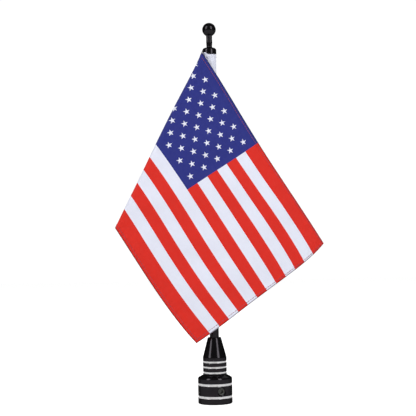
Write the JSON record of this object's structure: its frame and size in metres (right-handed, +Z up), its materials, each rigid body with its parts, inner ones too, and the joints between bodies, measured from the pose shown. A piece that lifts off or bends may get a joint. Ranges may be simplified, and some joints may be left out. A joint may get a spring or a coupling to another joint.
{
  "type": "flag on a pole mount",
  "caption": "Small striped flag with a star field, folded on a slim turned pole with a ball finial, on a stubby drum base with a radial set screw and a post socket.",
  "frame": {"origin": "the pole's axis on the flat underside of the base, at the mouth of its post socket", "axes": "+Z up along the pole; the front of the flag faces -Y, and its fly points to +X"},
  "size_m": [0.1933, 0.0318, 0.3537],
  "materials": {
    "black_anodised": "gloss black anodised, with bright-cut bands",
    "black_steel": "black oxide",
    "brass": "turned",
    "rubber": "matte",
    "white_cloth": "plain-weave polyester",
    "printed_cloth": "plain-weave polyester, printed in red, white and blue"
  },
  "bodies": {
    "base": {"base_drum": "black_anodised", "cone_ferrule": "black_anodised", "pole_rod": "black_anodised"},
    "flag": {"flag_sleeve": "white_cloth", "flag_cloth": "printed_cloth"},
    "stop": {"stop_ring": "rubber"},
    "cap": {"retaining_cap": "black_anodised"},
    "finial": {"finial": "black_anodised"},
    "pad": {"set_screw_pad": "brass"},
    "screw": {"set_screw": "black_steel"}
  },
  "joints": [
    {"name": "flag_swivel", "type": "hinge", "parent": "base", "child": "flag", "pos_m": [0, 0, 0.25], "axis": [0, 0, 1], "continuous": true},
    {"name": "stop_slide", "type": "slide", "parent": "base", "child": "stop", "axis": [0, 0, 1], "range_m": [-0.106, 0]},
    {"name": "cap_lift", "type": "slide", "parent": "base", "child": "cap", "axis": [0, 0, 1], "range_m": [0, 0.0098]},
    {"name": "finial_turn", "type": "hinge", "parent": "cap", "child": "finial", "pos_m": [0, 0, 0.33], "axis": [0, 0, 1], "range_deg": [0, 5040]},
    {"name": "pad_travel", "type": "slide", "parent": "base", "child": "pad", "axis": [0.3907, -0.9205, 0], "range_m": [-0.0003, 0.0075]},
    {"name": "set_screw_turn", "type": "hinge", "parent": "pad", "child": "screw", "pos_m": [0, 0, 0.012], "axis": [0.3907, -0.9205, 0], "range_deg": [-86.4, 2160]}
  ],
  "couplings": [
    {"joint": "finial_turn", "follows": "cap_lift", "rad_per_m": 8976},
    {"joint": "set_screw_turn", "follows": "pad_travel", "rad_per_m": 5026.5}
  ]
}
